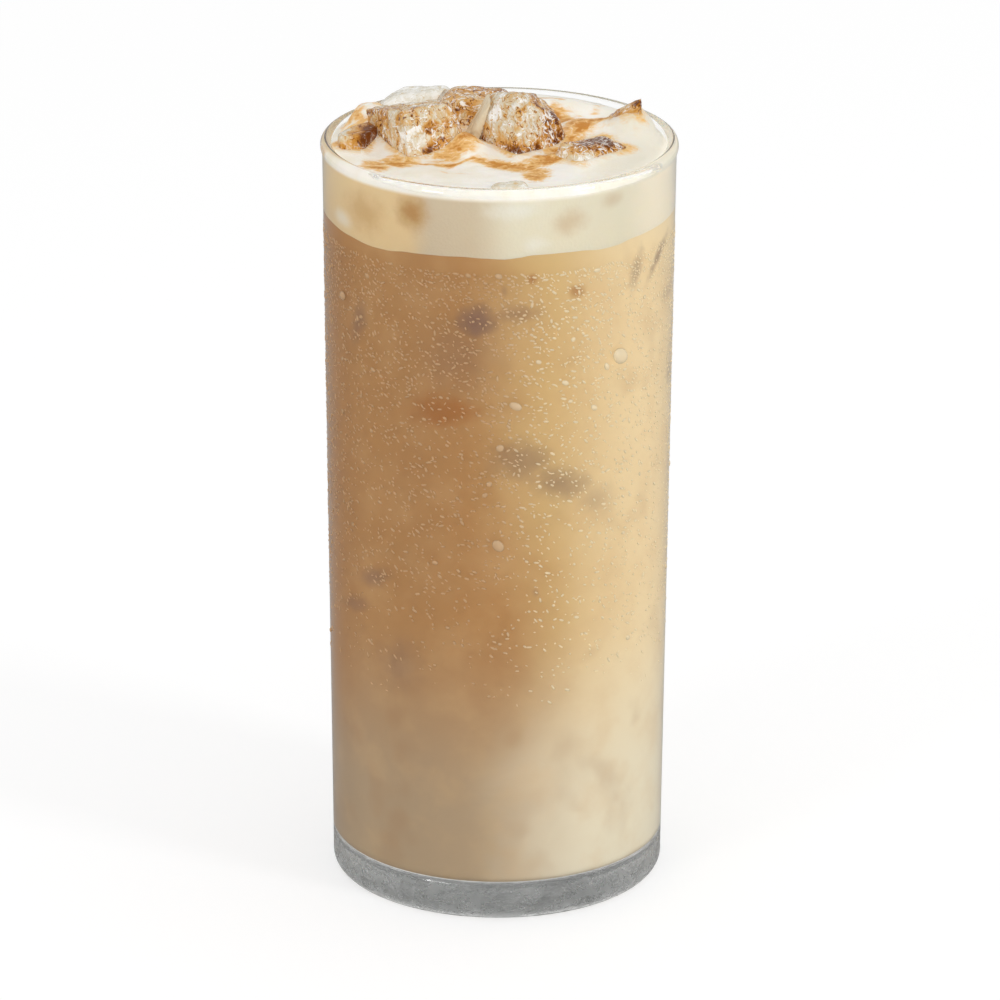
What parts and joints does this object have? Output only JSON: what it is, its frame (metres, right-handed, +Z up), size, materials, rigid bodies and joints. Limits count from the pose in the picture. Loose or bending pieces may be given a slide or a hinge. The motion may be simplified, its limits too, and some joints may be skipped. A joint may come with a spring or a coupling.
{
  "type": "iced latte in a glass",
  "caption": "Tall straight tumbler of iced milky coffee with a thick cap of milk foam and chunks of clear ice standing out of the top.",
  "frame": {"origin": "centre of the glass's underside, on the surface that it stands on", "axes": "+Z up along the glass, -Y towards the viewer, +X to the viewer's right"},
  "size_m": [0.0696, 0.0696, 0.1619],
  "materials": {
    "clear_glass": "clear and smooth, misted with small drops of water",
    "milky_coffee": "opaque tan drink",
    "milk_foam": "cream foam with coffee stains",
    "stained_ice": "wet cracked ice stained with coffee"
  },
  "bodies": {
    "root": {"glass": "clear_glass", "latte": "milky_coffee", "foam": "milk_foam", "ice_left": "stained_ice", "ice_centre": "stained_ice", "ice_back": "stained_ice", "ice_slab": "stained_ice", "ice_right": "stained_ice", "ice_rim": "stained_ice", "ice_front": "stained_ice", "ice_frosted": "stained_ice", "ice_peak": "stained_ice"}
  },
  "joints": []
}
